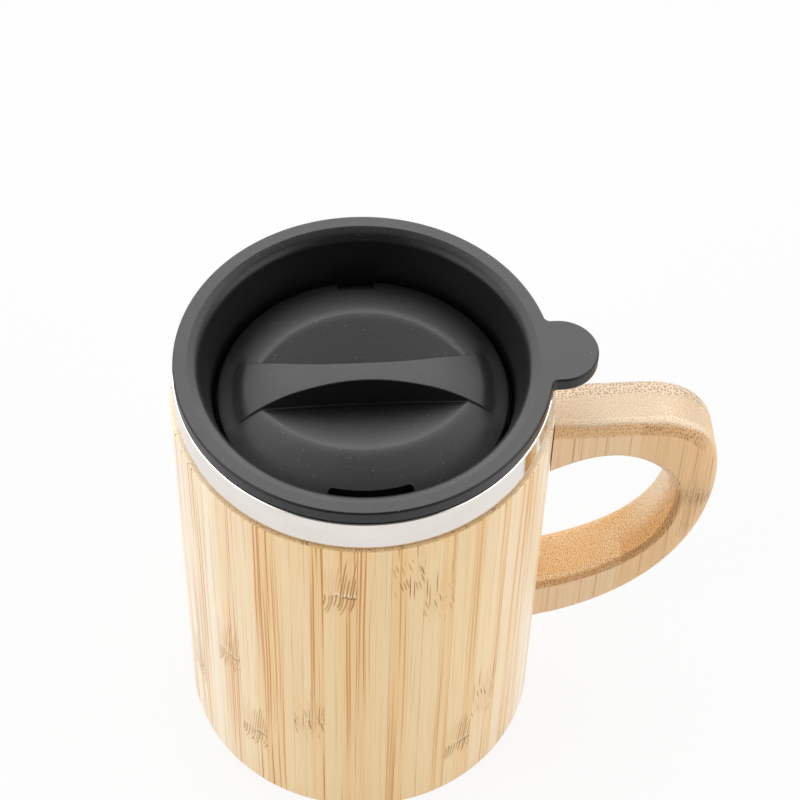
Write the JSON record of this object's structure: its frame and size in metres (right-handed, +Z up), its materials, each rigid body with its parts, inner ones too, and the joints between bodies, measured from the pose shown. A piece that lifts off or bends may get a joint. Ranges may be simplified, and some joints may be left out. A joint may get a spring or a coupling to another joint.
{
  "type": "travel cup",
  "caption": "Steel travel cup in a sleeve of glued bamboo staves, with a bamboo handle and a black plug lid whose disc turns to open a drink slot.",
  "frame": {"origin": "centre of the face that the cup rests on, on the cup's axis", "axes": "+Z up along the cup's axis, +X towards the handle and the lid's thumb tab, -Y towards the drinker"},
  "size_m": [0.1314, 0.09, 0.13],
  "materials": {
    "bamboo": "sanded, clear matt oil",
    "handle_bamboo": "sanded, clear matt oil",
    "steel": "polished collar, satin inside",
    "screw_steel": "bright zinc",
    "lid_plastic": "fine satin grain",
    "silicone": "translucent white",
    "pad_rubber": "matt"
  },
  "bodies": {
    "cup": {"stave_01": "bamboo", "stave_02": "bamboo", "stave_03": "bamboo", "stave_04": "bamboo", "stave_05": "bamboo", "stave_06": "bamboo", "stave_07": "bamboo", "stave_08": "bamboo", "stave_09": "bamboo", "stave_10": "bamboo", "stave_11": "bamboo", "stave_12": "bamboo", "stave_13": "bamboo", "stave_14": "bamboo", "stave_15": "bamboo", "stave_16": "bamboo", "stave_17": "bamboo", "stave_18": "bamboo", "stave_19": "bamboo", "stave_20": "bamboo", "stave_21": "bamboo", "stave_22": "bamboo", "stave_23": "bamboo", "stave_24": "bamboo", "stave_25": "bamboo", "stave_26": "bamboo", "stave_27": "bamboo", "stave_28": "bamboo", "stave_29": "bamboo", "stave_30": "bamboo", "stave_31": "bamboo", "stave_32": "bamboo", "stave_33": "bamboo", "stave_34": "bamboo", "stave_35": "bamboo", "stave_36": "bamboo", "steel_liner": "steel", "base_disc": "bamboo", "base_pad": "pad_rubber", "handle_upper_arm": "handle_bamboo", "handle_lower_arm": "handle_bamboo", "handle_grip": "handle_bamboo", "handle_screws": "screw_steel"},
    "seal": {"lid_seal": "silicone"},
    "lid": {"lid_body": "lid_plastic"},
    "closure": {"closure_disc": "lid_plastic"}
  },
  "joints": [
    {"name": "lid_lift", "type": "slide", "parent": "cup", "child": "seal", "axis": [0, 0, 1], "range_m": [0, 0.06]},
    {"name": "lid_turn", "type": "hinge", "parent": "seal", "child": "lid", "pos_m": [0, 0, 0.126], "axis": [0, 0, 1], "continuous": true},
    {"name": "closure_turn", "type": "hinge", "parent": "lid", "child": "closure", "pos_m": [0, 0, 0.114], "axis": [0, 0, 1], "range_deg": [0, 90]}
  ]
}
